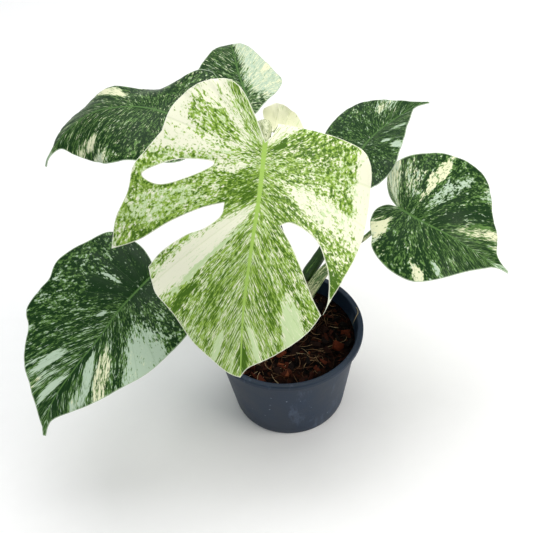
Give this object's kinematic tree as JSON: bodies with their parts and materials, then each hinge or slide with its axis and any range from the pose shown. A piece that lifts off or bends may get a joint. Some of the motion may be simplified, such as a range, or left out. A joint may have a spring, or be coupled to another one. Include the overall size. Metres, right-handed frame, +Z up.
{
  "type": "potted variegated monstera",
  "caption": "Aroid house plant with cream and green marbled heart-shaped leaves, one of them split and holed, on long stalks in a round dark plastic nursery pot of bark mix.",
  "frame": {"origin": "middle of the underside of the pot, on the surface that it stands on", "axes": "+Z up along the pot's axis; -Y towards the tip of the large split leaf, which is the side seen in the picture; +X to the right in it"},
  "size_m": [0.379, 0.3162, 0.3086],
  "materials": {
    "pot_plastic": "satin",
    "potting_mix": "matte",
    "stem_skin": "satin",
    "petiole_skin": "satin",
    "leaf_front": "satin",
    "leaf_back_left": "satin",
    "leaf_lower_left": "satin",
    "leaf_upper_right": "satin",
    "leaf_right": "satin",
    "leaf_back": "satin"
  },
  "bodies": {
    "root": {"pot": "pot_plastic", "soil": "potting_mix", "stem": "stem_skin", "petiole_front": "petiole_skin", "petiole_back_left": "petiole_skin", "petiole_lower_left": "petiole_skin", "petiole_upper_right": "petiole_skin", "petiole_right": "petiole_skin", "petiole_back": "petiole_skin", "leaf_front": "leaf_front", "leaf_back_left": "leaf_back_left", "leaf_lower_left": "leaf_lower_left", "leaf_upper_right": "leaf_upper_right", "leaf_right": "leaf_right", "leaf_back": "leaf_back"}
  },
  "joints": []
}
